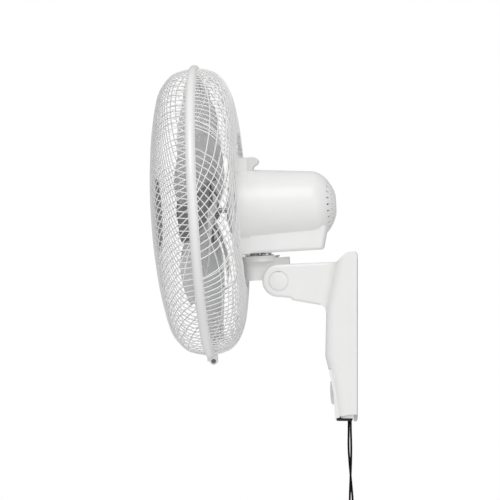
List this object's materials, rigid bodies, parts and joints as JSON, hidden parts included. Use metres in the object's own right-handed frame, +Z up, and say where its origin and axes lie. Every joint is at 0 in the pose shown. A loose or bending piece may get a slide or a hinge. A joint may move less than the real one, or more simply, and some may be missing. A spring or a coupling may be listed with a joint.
{
  "type": "wall mounted fan",
  "caption": "Wall mounted fan: a wire-guarded head that tilts and swings on a short arm, over a wall bracket with pull cords.",
  "frame": {"origin": "middle of the bracket's wall face, in the wall plane", "axes": "+Z up; -Y the way the air blows, away from the wall; +X to the right of someone who faces the fan"},
  "size_m": [0.4262, 0.2981, 0.7489],
  "materials": {
    "white_shell": "satin white moulded plastic",
    "white_wire": "white powder-coated steel wire",
    "white_band": "white plastic band",
    "blade_grey": "light grey blades seen through the wires",
    "spinner_grey": "darker grey hub nut",
    "backing_grey": "light grey centre disc",
    "lens_grey": "pale translucent plastic",
    "black_plastic": "black moulded plastic",
    "switch_plastic": "switch case",
    "cord_black": "black braided cord",
    "steel": "bare steel",
    "zinc_steel": "zinc-plated sheet steel",
    "dark_steel": "dull dark steel",
    "castings": "die-cast aluminium",
    "laminations": "laminated steel",
    "copper": "enamelled copper windings",
    "bronze": "sintered bronze bush",
    "rubber_black": "black rubber"
  },
  "bodies": {
    "bracket": {"wall_plate": "zinc_steel", "bracket_back": "white_shell", "bracket_shell": "white_shell", "control_panel": "white_shell", "indicator_lens": "lens_grey", "bracket_base": "white_shell", "cord_plate": "black_plastic", "cable_bush": "rubber_black", "speed_switch": "switch_plastic", "swing_switch": "switch_plastic", "terminal_block": "switch_plastic", "shell_screws": "steel", "tilt_bolt": "steel", "tilt_nut": "steel", "tilt_caps": "white_shell"},
    "neck": {"neck_block": "white_shell", "swivel_disc": "white_shell", "swivel_bush": "bronze", "swing_arm": "zinc_steel", "swing_arm_screws": "steel"},
    "head": {"swivel_post": "steel", "post_clip": "steel", "swing_motor": "zinc_steel", "front_bell": "castings", "rear_bell": "castings", "motor_studs": "steel", "stator_core": "laminations", "stator_windings": "copper", "bearings": "bronze", "run_capacitor": "switch_plastic", "front_cover": "white_shell", "rear_cover": "white_shell", "cover_screw": "steel", "front_grille": "white_wire", "rear_grille": "white_wire", "grille_band": "white_band", "band_screw": "dark_steel", "band_nut": "dark_steel", "centre_badge": "white_shell", "centre_backing": "backing_grey", "grille_nut": "white_shell"},
    "rotor": {"motor_shaft": "steel", "rotor_core": "laminations", "drive_pin": "steel", "fan_blade": "blade_grey", "spinner_nut": "spinner_grey"},
    "crank": {"swing_crank": "zinc_steel"},
    "speed_pull": {"speed_cord": "cord_black", "speed_knob": "black_plastic"},
    "swing_pull": {"swing_cord": "cord_black", "swing_knob": "black_plastic"}
  },
  "joints": [
    {"name": "head_tilt", "type": "hinge", "parent": "bracket", "child": "neck", "pos_m": [0, -0.113, 0.0803], "axis": [1, 0, 0], "range_deg": [-13, 17]},
    {"name": "head_swing", "type": "hinge", "parent": "neck", "child": "head", "pos_m": [0, -0.14885, 0.1183], "axis": [0, -0.0576, 0.9983], "range_deg": [-40, 40]},
    {"name": "blade_spin", "type": "hinge", "parent": "head", "child": "rotor", "pos_m": [0, -0.22383, 0.18009], "axis": [0, 0.9983, 0.0576], "continuous": true},
    {"name": "crank_turn", "type": "hinge", "parent": "head", "child": "crank", "pos_m": [0, -0.13692, 0.11999], "axis": [0, -0.0576, 0.9983], "range_deg": [-91, 91]},
    {"name": "speed_pull", "type": "slide", "parent": "bracket", "child": "speed_pull", "axis": [0, 0, -1], "range_m": [0, 0.012], "stiffness_N_per_m": 350},
    {"name": "swing_pull", "type": "slide", "parent": "bracket", "child": "swing_pull", "axis": [0, 0, -1], "range_m": [0, 0.012], "stiffness_N_per_m": 350}
  ],
  "couplings": [
    {"joint": "crank_turn", "follows": "head_swing", "ratio": -2.25}
  ]
}
